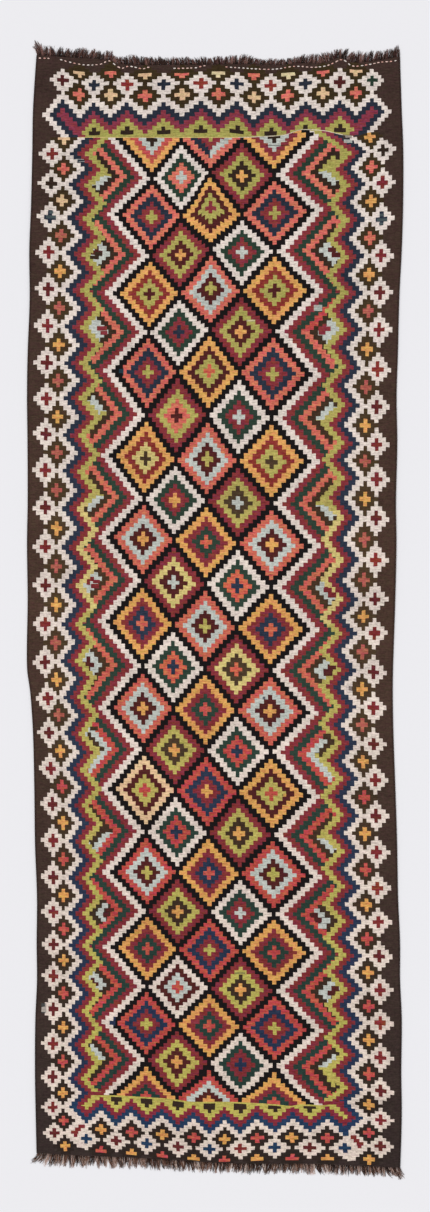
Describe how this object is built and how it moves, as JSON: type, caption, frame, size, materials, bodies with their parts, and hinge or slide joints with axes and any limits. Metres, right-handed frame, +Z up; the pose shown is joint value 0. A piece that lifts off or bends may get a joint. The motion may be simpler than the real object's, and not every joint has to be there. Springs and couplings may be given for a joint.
{
  "type": "kilim runner rug",
  "caption": "Long flat-woven wool runner with stepped diamonds, a cross border and short cut-warp fringes; lies flat on the floor.",
  "frame": {"origin": "on the floor, under the middle of the runner with its fringes", "axes": "+Y along the length, towards the end with the running stitches; +X across the width; +Z up out of the face of the cloth"},
  "size_m": [1.1302, 3.4164, 0.0025],
  "materials": {
    "kilim_wool": "matte",
    "warp_wool": "matte"
  },
  "bodies": {
    "root": {"woven_ground": "kilim_wool", "fringe_far": "warp_wool", "fringe_near": "warp_wool"}
  },
  "joints": []
}
